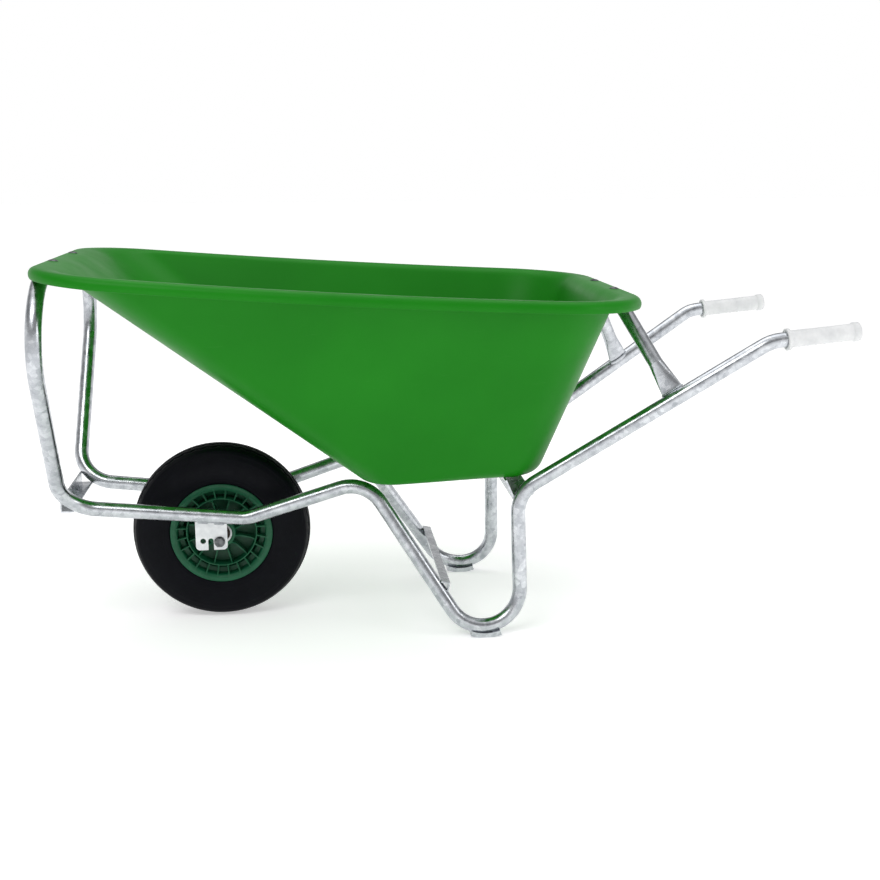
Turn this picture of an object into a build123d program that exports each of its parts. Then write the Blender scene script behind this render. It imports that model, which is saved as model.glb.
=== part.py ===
from build123d import *
from math import asin, atan2, cos, degrees, hypot, radians, sin, sqrt, tan
import os

# A one-wheel barrow. Millimetres, +Z up, +X towards the handles, -Y on the user's left.
# It is laid out from the axle, which lies along Y at X = 0, over the ground at Z = 0,
# and each written part is then moved so that the origin is the middle of the base.
# A station of the frame is (x, half width, z); the frame is the same on both sides.

# ---- frame tube ----
TUBE_RADIUS = 16.0
TUBE_WALL = 1.5
BEND_RADIUS = 80.0
HOOP_BEND_RADIUS = 132.0
REAR_BEND_RADIUS = 52.0
SEAT_GAP = 0.3

# ---- wheel ----
TYRE_RADIUS = 200.0
TYRE_HALF_WIDTH = 50.0
TYRE_WALL = 5.0
TREAD_HALF_WIDTH = 36.0
SHOULDER_RADIUS = 190.0
SIDEWALL_RADIUS = 154.0
NECK_RISE = 2.0
NECK_SPREAD = 4.5
BEAD_TOE = 26.0
BEAD_FIT = 0.2
RIM_FLANGE_RADIUS = 114.4
RIM_FLANGE_HALF_WIDTH = 45.0
BEAD_SEAT_RADIUS = 101.6
BEAD_HALF_WIDTH = 40.0
RIM_WELL_RADIUS = 90.0
RIM_WELL_HALF_WIDTH = 20.0
RIM_WALL = 4.0
RIM_EDGE = 1.0
CUT_OVERRUN = 4.0
INNER_RING_RADIUS = 79.5
INNER_RING_HALF_WIDTH = 36.0
CELL_HALF_WIDTH = 34.0
RIB_FIT = 0.2
WEB_THICKNESS = 6.0
CELL_COUNT = 24
SPOKE_COUNT = 12
RIB_THICKNESS = 3.0
SPOKE_HALF_WIDTH = 26.0
HUB_RADIUS = 31.0
HUB_HALF_WIDTH = 45.0
VALVE_OFFSET = 10.0
VALVE_RADIUS = 4.0
VALVE_HOLE_RADIUS = 5.0
VALVE_SHOULDER_RADIUS = 66.0
VALVE_TIP_RADIUS = 52.0
VALVE_CAP_WALL = 1.5
VALVE_CAP_END = 2.5
VALVE_CAP_GAP = 0.5
VALVE_CAP_DEPTH = 8.0
TUBE_RUBBER = 2.0

# ---- axle and bearings ----
AXLE_RADIUS = 10.0
BEARING_RADIUS = 23.5
BEARING_WIDTH = 14.0
BEARING_INSET = 1.0
HUB_SHOULDER = 4.0
RING_THICKNESS = 4.0
BALL_RADIUS = 3.95
BALL_COUNT = 8
RACE_CLEARANCE = 0.05
SEAL_THICKNESS = 1.0
SPACER_RADIUS = 14.0
BRACKET_OUTER_FACE = 107.0
BRACKET_THICKNESS = 4.0
AXLE_BOLT_RADIUS = 6.0
AXLE_BOLT_GRIP = 28.0
AXLE_BOLT_TIP_GAP = 2.0
AXLE_HEAD_RADIUS = 10.9
AXLE_HEAD_HEIGHT = 7.5
AXLE_WASHER_RADIUS = 12.0
AXLE_WASHER_THICKNESS = 2.5

# ---- axle bracket outline, from the axle ----
BRACKET_REAR = 17.0
BRACKET_FRONT = -52.0
BRACKET_DROP = 18.5
BRACKET_CORNER = 9.0
SLOT_X = -19.0
SLOT_WIDTH = 12.0
SLOT_TOP = 8.0
SPARE_HOLE_X = -36.0
SPARE_HOLE_Z = 2.0
BRACKET_HOLE_RADIUS = 6.25
BRACKET_TOP_SHARE = 0.25

# ---- frame stations ----
FOOT_PLATE_THICKNESS = 6.0
FOOT_PLATE_LENGTH = 64.0
FOOT_PLATE_WIDTH = 38.0
FOOT_PLATE_LAP = 4.0
FOOT_PLATE_WEAR = 1.0
FOOT_TUBE_Z = TUBE_RADIUS + FOOT_PLATE_THICKNESS
HANDLE_END = (1356.0, 281.0, 662.5)
HANDLE_BEND = (1170.0, 281.0, 645.5)
HIP = (650.0, 194.0, 312.0)
REAR_FOOT = (655.5, 217.0, FOOT_TUBE_Z)
FRONT_FOOT = (527.0, 230.0, FOOT_TUBE_Z)
KNEE = (324.0, 127.0, 335.5)
DIP = (62.0, 108.0, 252.0)
FRONT_CORNER = (-333.0, 118.0, 295.0)
HOOP_SPREAD = 440.0
REAR_HOOP_FOOT = (982.0, 240.0, 524.0)
REAR_HOOP_SPREAD = 134.5
HANDLE_SPLIT = 0.80
RISE_SPLIT = 0.5
UPRIGHT_SPLIT = 0.2
FAN_WIDTH = 46.0
FAN_THICKNESS = 9.0
FAN_START = 85.0
FAN_END = 22.0

# ---- tray ----
TRAY_WALL = 4.5
RIM_FRONT = (-334.0, 822.0)
RIM_REAR = (903.0, 741.0)
RIM_SAG = 9.0
RIM_HALF_WIDTH = 400.0
RIM_BULGE = 20.0
RIM_FRONT_CORNER = 165.0
RIM_REAR_CORNER = 195.0
LIP_DEPTH = 24.0
FLANGE_FRONT = 48.0
FLANGE_REAR = 57.0
FLANGE_SIDE = 28.0
FRONT_SLOPE_FALL = 0.794
REAR_WALL_LEAN = 0.353
FLOOR_FRONT_Z = 333.0
FLOOR_REAR_Z = 344.0
FLOOR_HALF_WIDTH = 190.0
FLOOR_CORNER = 70.0
FLOOR_EDGE_ROUND = 48.0

# ---- tray fasteners ----
FRONT_BOLT_X = -312.0
FRONT_BOLT_HALF_SPACING = 115.0
REAR_BOLT_X = 878.0
REAR_BOLT_HALF_SPACING = 93.0
TRAY_BOLT_RADIUS = 4.0
TRAY_BOLT_HOLE_RADIUS = 4.5
TRAY_HEAD_RADIUS = 10.0
TRAY_HEAD_HEIGHT = 4.0
TRAY_HEAD_EDGE = 1.0
TRAY_NUT_RADIUS = 7.5
TRAY_NUT_HEIGHT = 6.5
TRAY_WASHER_RADIUS = 8.5
TRAY_WASHER_THICKNESS = 1.6
THREAD_CLEARANCE = 0.05
BOLT_TAIL = 4.0

# ---- cross members ----
FRONT_ANGLE_LEG = 25.0
LEG_ANGLE_LEG = 20.0
ANGLE_THICKNESS = 3.0
LEG_ANGLE_Z = 103.0
TRAY_ANGLE_HEEL = (644.0, 290.0)
TRAY_ANGLE_LEAN = 23.0
TRAY_ANGLE_LEG = 46.0
TRAY_ANGLE_THICKNESS = 4.0
TRAY_ANGLE_RELIEF = 2.0
ANGLE_OVERHANG = 10.0

# ---- grips ----
GRIP_LENGTH = 160.0
GRIP_RADIUS = 18.0
GRIP_END_RADIUS = 20.5
GRIP_COLLAR_RADIUS = 23.5
GRIP_COLLAR_LENGTH = 8.0
GRIP_END_WALL = 4.0
GRIP_SWELL = (22.0, 12.0)
GRIP_EDGE = 3.0
GRIP_COLLAR_EDGE = 1.0
GRIP_FIT = 0.1

SIDES = {"left": -1, "right": 1}
AXLE_Z = TYRE_RADIUS
AXLE_HALF_LENGTH = BRACKET_OUTER_FACE - BRACKET_THICKNESS
BEARING_OUTER_FACE = HUB_HALF_WIDTH - BEARING_INSET
BEARING_INNER_FACE = BEARING_OUTER_FACE - BEARING_WIDTH
BALL_CIRCLE = (AXLE_RADIUS + BEARING_RADIUS) / 2
HUB_BORE_RADIUS = BEARING_RADIUS - HUB_SHOULDER


# ---- small helpers ----
def station(point, side):
    """A frame station as a vector on one side of the barrow."""
    return Vector(point[0], side * point[1], point[2])


def between(start, end, share):
    """The point that lies the given share of the way from start to end."""
    return start + (end - start) * share


def bent_tube(points, radius):
    """A round hollow tube along straight runs joined by arcs of one radius."""
    path = FilletPolyline(*points, radius=radius) if len(points) > 2 else Line(*points)
    section = Plane(origin=path @ 0, z_dir=path % 0)
    outer = sweep(section * Circle(TUBE_RADIUS), path=path)
    bore = sweep(section * Circle(TUBE_RADIUS - TUBE_WALL), path=path)
    return outer, outer - bore


def along_y(profile, half_length):
    """A closed outline of (x, z) points, as a bar across the barrow."""
    face = Plane.XZ * make_face(Polyline(*profile, close=True))
    return extrude(face, amount=half_length, both=True)


def ring(outer_radius, inner_radius, start, end):
    """A plain ring about the wheel's axis, from y = start to y = end; no bore makes it a bar."""
    tube = Circle(outer_radius)
    if inner_radius:
        tube -= Circle(inner_radius)
    plane = Plane(origin=(0, start, AXLE_Z), z_dir=(0, 1, 0))
    return extrude(plane * tube, amount=end - start)


def turned(outline):
    """A closed outline in (y, radius), turned about the wheel's axis."""
    return Pos(0, 0, AXLE_Z) * revolve(Plane.YZ * make_face(outline), axis=Axis.Y)


def mirrored(half):
    """A closed outline from the (y, radius) points of its right half, in order."""
    return Polyline(*[(-y, radius) for y, radius in half], *reversed(half), close=True)


# ---- the rim line of the tray: one long shallow arc in the side view ----
RIM_CHORD = hypot(RIM_REAR[0] - RIM_FRONT[0], RIM_REAR[1] - RIM_FRONT[1])
RIM_ARC_RADIUS = ((RIM_CHORD / 2) ** 2 + RIM_SAG ** 2) / (2 * RIM_SAG)
RIM_TILT = atan2(RIM_REAR[1] - RIM_FRONT[1], RIM_REAR[0] - RIM_FRONT[0])
RIM_ARC_CENTRE = (
    (RIM_FRONT[0] + RIM_REAR[0]) / 2 - sin(RIM_TILT) * (RIM_ARC_RADIUS - RIM_SAG),
    (RIM_FRONT[1] + RIM_REAR[1]) / 2 + cos(RIM_TILT) * (RIM_ARC_RADIUS - RIM_SAG),
)


def rim_point(x, depth=0.0):
    """The point of the rim's top face at x, or one the given depth under it."""
    lean = asin((x - RIM_ARC_CENTRE[0]) / RIM_ARC_RADIUS)
    reach = RIM_ARC_RADIUS + depth
    return (RIM_ARC_CENTRE[0] + reach * sin(lean), RIM_ARC_CENTRE[1] - reach * cos(lean))


def rim_plane(x, y, depth=0.0):
    """A plane on the rim's top face, or under it, whose z points out of the tray's top."""
    px, pz = rim_point(x, depth)
    normal = (RIM_ARC_CENTRE[0] - px, 0, RIM_ARC_CENTRE[1] - pz)
    return Plane(origin=(px, y, pz), x_dir=(0, 1, 0), z_dir=normal)


HOOP_DEPTH = TRAY_WALL + SEAT_GAP + TUBE_RADIUS
FRONT_HOOP = (rim_point(FRONT_BOLT_X, HOOP_DEPTH)[0], rim_point(FRONT_BOLT_X, HOOP_DEPTH)[1])
REAR_HOOP = (rim_point(REAR_BOLT_X, HOOP_DEPTH)[0], rim_point(REAR_BOLT_X, HOOP_DEPTH)[1])


# ---- frame ----
def frame_corners(side):
    """The corners of one side's tube, from the handle's end to the front hoop."""
    corners = [HANDLE_END, HANDLE_BEND, HIP, REAR_FOOT, FRONT_FOOT, KNEE, DIP, FRONT_CORNER]
    hoop_corner = (FRONT_HOOP[0], HOOP_SPREAD, FRONT_HOOP[1])
    return [station(corner, side) for corner in corners + [hoop_corner]]


def handle_tube(side):
    end, bend, hip = frame_corners(side)[:3]
    return bent_tube([end, bend, between(bend, hip, HANDLE_SPLIT)], BEND_RADIUS)


def leg_tube(side):
    bend, hip, rear_foot, front_foot, knee, dip = frame_corners(side)[1:7]
    top = between(bend, hip, HANDLE_SPLIT)
    low = between(knee, dip, RISE_SPLIT)
    return bent_tube([top, hip, rear_foot, front_foot, knee, low], BEND_RADIUS)


def lower_tube(side):
    knee, dip, corner, hoop = frame_corners(side)[5:9]
    start = between(knee, dip, RISE_SPLIT)
    return bent_tube([start, dip, corner, between(corner, hoop, UPRIGHT_SPLIT)], BEND_RADIUS)


def front_hoop():
    left_corner, left_top = frame_corners(-1)[7:9]
    right_corner, right_top = frame_corners(1)[7:9]
    start = between(left_corner, left_top, UPRIGHT_SPLIT)
    end = between(right_corner, right_top, UPRIGHT_SPLIT)
    return bent_tube([start, left_top, right_top, end], HOOP_BEND_RADIUS)


def rear_hoop(handle_solids):
    """The tube under the tray's rear flange; its ends are pressed flat on the handle tubes."""
    feet = [station(REAR_HOOP_FOOT, side) for side in (-1, 1)]
    tops = [Vector(REAR_HOOP[0], side * REAR_HOOP_SPREAD, REAR_HOOP[1]) for side in (-1, 1)]
    up = [(top - foot).normalized() for foot, top in zip(feet, tops)]
    starts = [foot + direction * FAN_START for foot, direction in zip(feet, up)]
    outer, tube = bent_tube([starts[0], tops[0], tops[1], starts[1]], REAR_BEND_RADIUS)
    for side, foot, direction in zip((-1, 1), feet, up):
        handle = station(HANDLE_BEND, side) - station(HIP, side)
        flat = handle - direction * handle.dot(direction)
        round_end = Plane(origin=foot + direction * FAN_START, x_dir=flat, z_dir=direction)
        flat_end = Plane(origin=foot + direction * FAN_END, x_dir=flat, z_dir=direction)
        pressed = flat_end * Ellipse(FAN_WIDTH / 2, FAN_THICKNESS / 2)
        tube += loft([round_end * Circle(TUBE_RADIUS), pressed])
        tube += extrude(pressed, amount=-FAN_END)
    for solid in handle_solids:
        tube -= solid
    return tube


def angle_bar(heel, first, second, first_leg, second_leg, thickness, half_length):
    """An L section across the barrow; first and second are the directions of its legs."""
    def at(a, b):
        return (heel[0] + first[0] * a + second[0] * b, heel[1] + first[1] * a + second[1] * b)
    outline = [at(0, 0), at(first_leg, 0), at(first_leg, thickness), at(thickness, thickness)]
    outline += [at(thickness, second_leg), at(0, second_leg)]
    return along_y(outline, half_length)


def bend_centre(corner, before, after):
    """The centre, in the side view, of the arc that rounds a corner of the frame."""
    a = (Vector(before[0], before[2]) - Vector(corner[0], corner[2])).normalized()
    b = (Vector(after[0], after[2]) - Vector(corner[0], corner[2])).normalized()
    half = radians(a.get_angle(b)) / 2
    middle = (a + b).normalized()
    return Vector(corner[0], corner[2]) + middle * (BEND_RADIUS / sin(half))


def front_cross_angle(lower_solids):
    """The angle iron whose two toes stand on the outside of the front corner bends."""
    hoop_corner = (FRONT_HOOP[0], HOOP_SPREAD, FRONT_HOOP[1])
    centre = bend_centre(FRONT_CORNER, DIP, hoop_corner)
    reach = BEND_RADIUS + TUBE_RADIUS
    leg = FRONT_ANGLE_LEG
    inner = (leg + sqrt(2 * reach ** 2 - leg ** 2)) / 2
    heel = (centre.X - inner - ANGLE_THICKNESS, centre.Y - inner - ANGLE_THICKNESS)
    outer_leg = leg + ANGLE_THICKNESS
    half_length = FRONT_CORNER[1] + ANGLE_OVERHANG
    bar = angle_bar(heel, (1, 0), (0, 1), outer_leg, outer_leg, ANGLE_THICKNESS, half_length)
    for solid in lower_solids:
        bar -= solid
    return bar


def leg_cross_angle(leg_solids):
    """The angle iron across the back of the two slanting legs, heel away from the tubes."""
    run = Vector(FRONT_FOOT[0] - KNEE[0], FRONT_FOOT[2] - KNEE[2]).normalized()
    share = (KNEE[2] - LEG_ANGLE_Z) / (KNEE[2] - FRONT_FOOT[2])
    x = KNEE[0] + (FRONT_FOOT[0] - KNEE[0]) * share
    half_width = KNEE[1] + (FRONT_FOOT[1] - KNEE[1]) * share
    back = Vector(-run.Y, run.X)
    diagonal = LEG_ANGLE_LEG / sqrt(2)
    heel = Vector(x, LEG_ANGLE_Z) + back * (TUBE_RADIUS + diagonal)
    first = (run - back).normalized()
    second = (run * -1 - back).normalized()
    bar = angle_bar(
        (heel.X, heel.Y), (first.X, first.Y), (second.X, second.Y),
        LEG_ANGLE_LEG, LEG_ANGLE_LEG, ANGLE_THICKNESS, half_width + ANGLE_OVERHANG)
    for solid in leg_solids:
        bar -= solid
    return bar


def floor_z(x):
    """The height of the tray's underside at x."""
    share = (x - FLOOR_FRONT_X) / (FLOOR_REAR_X - FLOOR_FRONT_X)
    return FLOOR_FRONT_Z + (FLOOR_REAR_Z - FLOOR_FRONT_Z) * share


def tray_cross_angle(leg_solids):
    """The angle iron between the hips; its front leg reaches up to the tray's floor."""
    lean = radians(TRAY_ANGLE_LEAN)
    up = (-sin(lean), cos(lean))
    back = (cos(lean), sin(lean))
    rise = floor_z(TRAY_ANGLE_HEEL[0]) - SEAT_GAP - TRAY_ANGLE_RELIEF - TRAY_ANGLE_HEEL[1]
    front_leg = rise / cos(lean)
    bar = angle_bar(
        TRAY_ANGLE_HEEL, up, back, front_leg, TRAY_ANGLE_LEG, TRAY_ANGLE_THICKNESS, HIP[1])
    for solid in leg_solids:
        bar -= solid
    return bar


def axle_bracket(side, tube):
    """The plate under the lower tube: an axle hole, an open slot and a spare hole."""
    top = DIP[2] + (FRONT_CORNER[2] - DIP[2]) * BRACKET_TOP_SHARE - AXLE_Z
    outline = Rectangle(
        BRACKET_REAR - BRACKET_FRONT, top + BRACKET_DROP,
        align=(Align.MIN, Align.MIN))
    outline = Pos(BRACKET_FRONT, -BRACKET_DROP) * outline
    outline = fillet(outline.vertices(), BRACKET_CORNER)
    outline -= Circle(BRACKET_HOLE_RADIUS)
    outline -= Pos(SPARE_HOLE_X, SPARE_HOLE_Z) * Circle(BRACKET_HOLE_RADIUS)
    slot_end = SLOT_TOP - SLOT_WIDTH / 2
    outline -= Pos(SLOT_X, slot_end) * Circle(SLOT_WIDTH / 2)
    slot_length = slot_end + BRACKET_DROP
    outline -= Pos(SLOT_X, slot_end - slot_length / 2) * Rectangle(SLOT_WIDTH, slot_length)
    face = side * BRACKET_OUTER_FACE + (BRACKET_THICKNESS if side < 0 else 0)
    plane = Plane(origin=(0, face, AXLE_Z), x_dir=(1, 0, 0), z_dir=(0, -1, 0))
    return extrude(plane * outline, amount=BRACKET_THICKNESS) - tube


def foot_plate(side, tube):
    """The curved wear plate under one foot, with a flat where it stands."""
    middle_x = REAR_FOOT[0] - BEND_RADIUS
    reach = BEND_RADIUS + TUBE_RADIUS
    centre_z = FOOT_TUBE_Z + BEND_RADIUS
    outer = reach + FOOT_PLATE_THICKNESS + FOOT_PLATE_WEAR
    inner = reach - FOOT_PLATE_LAP
    half_turn = degrees(asin(FOOT_PLATE_LENGTH / 2 / reach))
    arc = Circle(outer) - Circle(inner)
    wedge_reach = 2 * outer
    wedge = make_face(Polyline(
        (0, 0), (-wedge_reach * sin(radians(half_turn)), -wedge_reach * cos(radians(half_turn))),
        (wedge_reach * sin(radians(half_turn)), -wedge_reach * cos(radians(half_turn))), close=True))
    strip = Plane(origin=(middle_x, 0, centre_z), x_dir=(1, 0, 0), z_dir=(0, -1, 0)) * (arc & wedge)
    half_width = (REAR_FOOT[1] + FRONT_FOOT[1]) / 2
    plate = Pos(0, side * half_width, 0) * extrude(strip, amount=FOOT_PLATE_WIDTH / 2, both=True)
    ground = Pos(middle_x, side * half_width, -outer) * Box(4 * outer, 4 * outer, 2 * outer)
    return plate - ground - tube


def grip(side):
    """A sleeve over the handle's end, with a collar in front and a swollen closed end."""
    end = station(HANDLE_END, side)
    direction = (end - station(HANDLE_BEND, side)).normalized()
    mouth = end - direction * (GRIP_LENGTH - GRIP_END_WALL - GRIP_FIT)
    bore = TUBE_RADIUS + GRIP_FIT
    profile = [
        (bore, 0), (GRIP_COLLAR_RADIUS - GRIP_COLLAR_EDGE, 0), (GRIP_COLLAR_RADIUS, GRIP_COLLAR_EDGE),
        (GRIP_COLLAR_RADIUS, GRIP_COLLAR_LENGTH - GRIP_COLLAR_EDGE),
        (GRIP_COLLAR_RADIUS - GRIP_COLLAR_EDGE, GRIP_COLLAR_LENGTH),
        (GRIP_RADIUS, GRIP_COLLAR_LENGTH), (GRIP_RADIUS, GRIP_LENGTH - GRIP_SWELL[0]),
        (GRIP_END_RADIUS, GRIP_LENGTH - GRIP_SWELL[1]), (GRIP_END_RADIUS, GRIP_LENGTH - GRIP_EDGE),
        (GRIP_END_RADIUS - GRIP_EDGE, GRIP_LENGTH), (0, GRIP_LENGTH), (0, GRIP_LENGTH - GRIP_END_WALL),
        (bore, GRIP_LENGTH - GRIP_END_WALL)]
    face = Plane.XZ * make_face(Polyline(*profile, close=True))
    sleeve = revolve(face, axis=Axis.Z)
    return Plane(origin=mouth, z_dir=direction).location * sleeve


# ---- tray ----
SIDE_DRAFT = (RIM_HALF_WIDTH - FLANGE_SIDE - FLOOR_HALF_WIDTH)
FLOOR_FRONT_X = RIM_FRONT[0] + FLANGE_FRONT + (
    rim_point(RIM_FRONT[0] + FLANGE_FRONT)[1] - FLOOR_FRONT_Z) / FRONT_SLOPE_FALL
FLOOR_REAR_X = RIM_REAR[0] - FLANGE_REAR - (
    rim_point(RIM_REAR[0] - FLANGE_REAR)[1] - FLOOR_REAR_Z) * REAR_WALL_LEAN


def tray_outline(length, half_width, bulge, front_corner, rear_corner):
    """A plan from x = 0 back to x = length, with bowed sides and four round corners."""
    left = Polyline((length, half_width), (length, -half_width))
    low = ThreePointArc((length, -half_width), (length / 2, -half_width - bulge), (0, -half_width))
    front = Line((0, -half_width), (0, half_width))
    high = ThreePointArc((0, half_width), (length / 2, half_width + bulge), (length, half_width))
    face = make_face([left, low, front, high])
    front_vertices = face.vertices().sort_by(Axis.X)[:2]
    face = fillet(front_vertices, front_corner)
    rear_vertices = face.vertices().filter_by(lambda v: v.X > length - 0.001)
    return fillet(rear_vertices, rear_corner)


def side_plane(front, rear):
    """A plane across the barrow through two (x, z) points, starting at the front one."""
    return Plane(origin=(front[0], 0, front[1]), x_dir=(rear[0] - front[0], 0, rear[1] - front[1]),
                 z_dir=(front[1] - rear[1], 0, rear[0] - front[0]))


def rim_prism(inset):
    """A tall block with the rim's outline in plan, drawn in by the inset."""
    plane = side_plane(RIM_FRONT, RIM_REAR)
    outline = tray_outline(
        RIM_CHORD - 2 * inset, RIM_HALF_WIDTH - inset, RIM_BULGE,
        RIM_FRONT_CORNER - inset, RIM_REAR_CORNER - inset)
    return extrude(plane * (Pos(inset, 0) * outline), amount=3 * LIP_DEPTH, both=True)


def rim_band(depth_top, depth_bottom):
    """Everything between two depths under the rim's long arc."""
    front_x = RIM_FRONT[0] - LIP_DEPTH
    rear_x = RIM_REAR[0] + LIP_DEPTH
    middle_x = (front_x + rear_x) / 2
    upper = [rim_point(x, depth_top) for x in (front_x, middle_x, rear_x)]
    lower = [rim_point(x, depth_bottom) for x in (rear_x, middle_x, front_x)]
    outline = [ThreePointArc(*upper), Line(upper[2], lower[0]), ThreePointArc(*lower)]
    outline.append(Line(lower[2], upper[0]))
    return extrude(Plane.XZ * make_face(outline), amount=RIM_HALF_WIDTH * 2, both=True)


def tub(inset):
    """The tray's bowl, solid; an inset of one wall gives the space inside it."""
    front_inset = inset * sqrt(1 + FRONT_SLOPE_FALL ** 2) / FRONT_SLOPE_FALL
    rear_inset = inset * sqrt(1 + REAR_WALL_LEAN ** 2)
    depth = RIM_FRONT[1] - FLOOR_FRONT_Z
    side_inset = inset * hypot(SIDE_DRAFT, depth) / depth
    floor_slope = (FLOOR_REAR_Z - FLOOR_FRONT_Z) / (FLOOR_REAR_X - FLOOR_FRONT_X)
    mouth_front = RIM_FRONT[0] + FLANGE_FRONT + front_inset
    mouth_rear = RIM_REAR[0] - FLANGE_REAR - rear_inset
    chord_slope = tan(RIM_TILT)
    mouth = [(x, RIM_FRONT[1] + (x - RIM_FRONT[0]) * chord_slope) for x in (mouth_front, mouth_rear)]
    floor_front = FLOOR_FRONT_X + front_inset - inset / FRONT_SLOPE_FALL
    floor_rear = FLOOR_REAR_X - rear_inset + inset * REAR_WALL_LEAN
    floor = [
        (x, FLOOR_FRONT_Z + inset + (x - FLOOR_FRONT_X) * floor_slope)
        for x in (floor_front, floor_rear)]
    mouth_length = hypot(mouth[1][0] - mouth[0][0], mouth[1][1] - mouth[0][1])
    floor_length = hypot(floor[1][0] - floor[0][0], floor[1][1] - floor[0][1])
    top = side_plane(*mouth) * tray_outline(
        mouth_length, RIM_HALF_WIDTH - FLANGE_SIDE - side_inset, RIM_BULGE,
        RIM_FRONT_CORNER - FLANGE_FRONT - inset, RIM_REAR_CORNER - FLANGE_REAR - inset)
    bottom = side_plane(*floor) * tray_outline(
        floor_length, FLOOR_HALF_WIDTH - side_inset + inset * SIDE_DRAFT / depth, 2.0,
        FLOOR_CORNER - inset, FLOOR_CORNER - inset)
    bowl = loft([bottom, top], ruled=True)
    floor_face = bowl.faces().sort_by(Axis.Z)[0]
    return fillet(floor_face.edges(), FLOOR_EDGE_ROUND - inset)


def tray():
    """One moulding: bowl, flange and turned-down lip, with its four bolt holes."""
    flange = rim_prism(0) & rim_band(0, TRAY_WALL)
    lip = (rim_prism(0) - rim_prism(TRAY_WALL)) & rim_band(0, LIP_DEPTH)
    below_rim = rim_band(0, RIM_FRONT[1])
    shell = (flange + lip + (tub(0) & below_rim)) - tub(TRAY_WALL)
    return shell


# ---- wheel ----
def rim_plates(outline, count):
    """Flat plates along the wheel's radii on both faces of the web; the outline is (y, radius)."""
    step = 360 / count
    plates = []
    for side in (-1, 1):
        face = Plane.YZ * make_face(Polyline(*[(side * y, radius) for y, radius in outline], close=True))
        plate = extrude(face, amount=RIB_THICKNESS / 2, both=True)
        plates += [Pos(0, 0, AXLE_Z) * Rot(0, step * (i + 0.5), 0) * plate for i in range(count)]
    return plates


def valve_bar(radius, inner, outer):
    """A round bar on the valve's line, which runs from the axle towards the handles."""
    plane = Plane(origin=(inner, VALVE_OFFSET, AXLE_Z), z_dir=(1, 0, 0))
    return extrude(plane * Circle(radius), amount=outer - inner)


WELL_INNER = RIM_WELL_RADIUS - RIM_WALL
SEAT_INNER = BEAD_SEAT_RADIUS - RIM_WALL
RING_INNER = INNER_RING_RADIUS - RIB_THICKNESS
HALF_WEB = WEB_THICKNESS / 2
WELL_BACK = RIM_WELL_HALF_WIDTH + RIM_WALL


def rim():
    """The moulded rim: flanged barrel, inner ring, web and hub in one turned outline."""
    body = turned(mirrored([
        (RIM_WELL_HALF_WIDTH, RIM_WELL_RADIUS), (RIM_WELL_HALF_WIDTH, BEAD_SEAT_RADIUS),
        (BEAD_HALF_WIDTH, BEAD_SEAT_RADIUS), (BEAD_HALF_WIDTH + RIM_EDGE, RIM_FLANGE_RADIUS - RIM_EDGE),
        (BEAD_HALF_WIDTH + 2 * RIM_EDGE, RIM_FLANGE_RADIUS),
        (RIM_FLANGE_HALF_WIDTH - RIM_EDGE, RIM_FLANGE_RADIUS),
        (RIM_FLANGE_HALF_WIDTH, RIM_FLANGE_RADIUS - RIM_EDGE),
        (RIM_FLANGE_HALF_WIDTH, SEAT_INNER + RIM_EDGE),
        (RIM_FLANGE_HALF_WIDTH - RIM_EDGE, SEAT_INNER), (WELL_BACK, SEAT_INNER),
        (WELL_BACK, WELL_INNER), (HALF_WEB, WELL_INNER), (HALF_WEB, INNER_RING_RADIUS),
        (INNER_RING_HALF_WIDTH, INNER_RING_RADIUS), (INNER_RING_HALF_WIDTH, RING_INNER),
        (HALF_WEB, RING_INNER), (HALF_WEB, HUB_RADIUS), (HUB_HALF_WIDTH, HUB_RADIUS),
        (HUB_HALF_WIDTH, BEARING_RADIUS), (BEARING_INNER_FACE, BEARING_RADIUS),
        (BEARING_INNER_FACE, HUB_BORE_RADIUS)]))
    return body - valve_bar(VALVE_HOLE_RADIUS, RING_INNER - CUT_OVERRUN, RIM_WELL_RADIUS + CUT_OVERRUN)


def rim_ribs():
    """The rim's ribs, standing on its web: short ones round the edge, long ones from the hub."""
    low = INNER_RING_RADIUS + RIB_FIT
    high = SEAT_INNER - RIB_FIT
    cell = [
        (HALF_WEB, low), (CELL_HALF_WIDTH, low), (CELL_HALF_WIDTH, high), (WELL_BACK + RIB_FIT, high),
        (WELL_BACK + RIB_FIT, WELL_INNER - RIB_FIT), (HALF_WEB, WELL_INNER - RIB_FIT)]
    near, far = HUB_RADIUS + RIB_FIT, RING_INNER - RIB_FIT
    spoke = [(HALF_WEB, near), (SPOKE_HALF_WIDTH, near), (SPOKE_HALF_WIDTH, far), (HALF_WEB, far)]
    return rim_plates(cell, CELL_COUNT) + rim_plates(spoke, SPOKE_COUNT)


def tyre_outline(wall):
    """One side to the other of the tyre's section, drawn in by the wall, as three arcs."""
    neck = (BEAD_HALF_WIDTH + NECK_SPREAD - 1.5 * wall, RIM_FLANGE_RADIUS + NECK_RISE + 0.4 * wall)
    wide = (TYRE_HALF_WIDTH - wall, SIDEWALL_RADIUS)
    shoulder = (TREAD_HALF_WIDTH - 0.7 * wall, SHOULDER_RADIUS - wall)
    crown = (0, TYRE_RADIUS - wall)
    right = ThreePointArc(neck, wide, shoulder)
    top = ThreePointArc(shoulder, crown, (-shoulder[0], shoulder[1]))
    left = ThreePointArc((-shoulder[0], shoulder[1]), (-wide[0], wide[1]), (-neck[0], neck[1]))
    return neck, [right, top, left]


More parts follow.
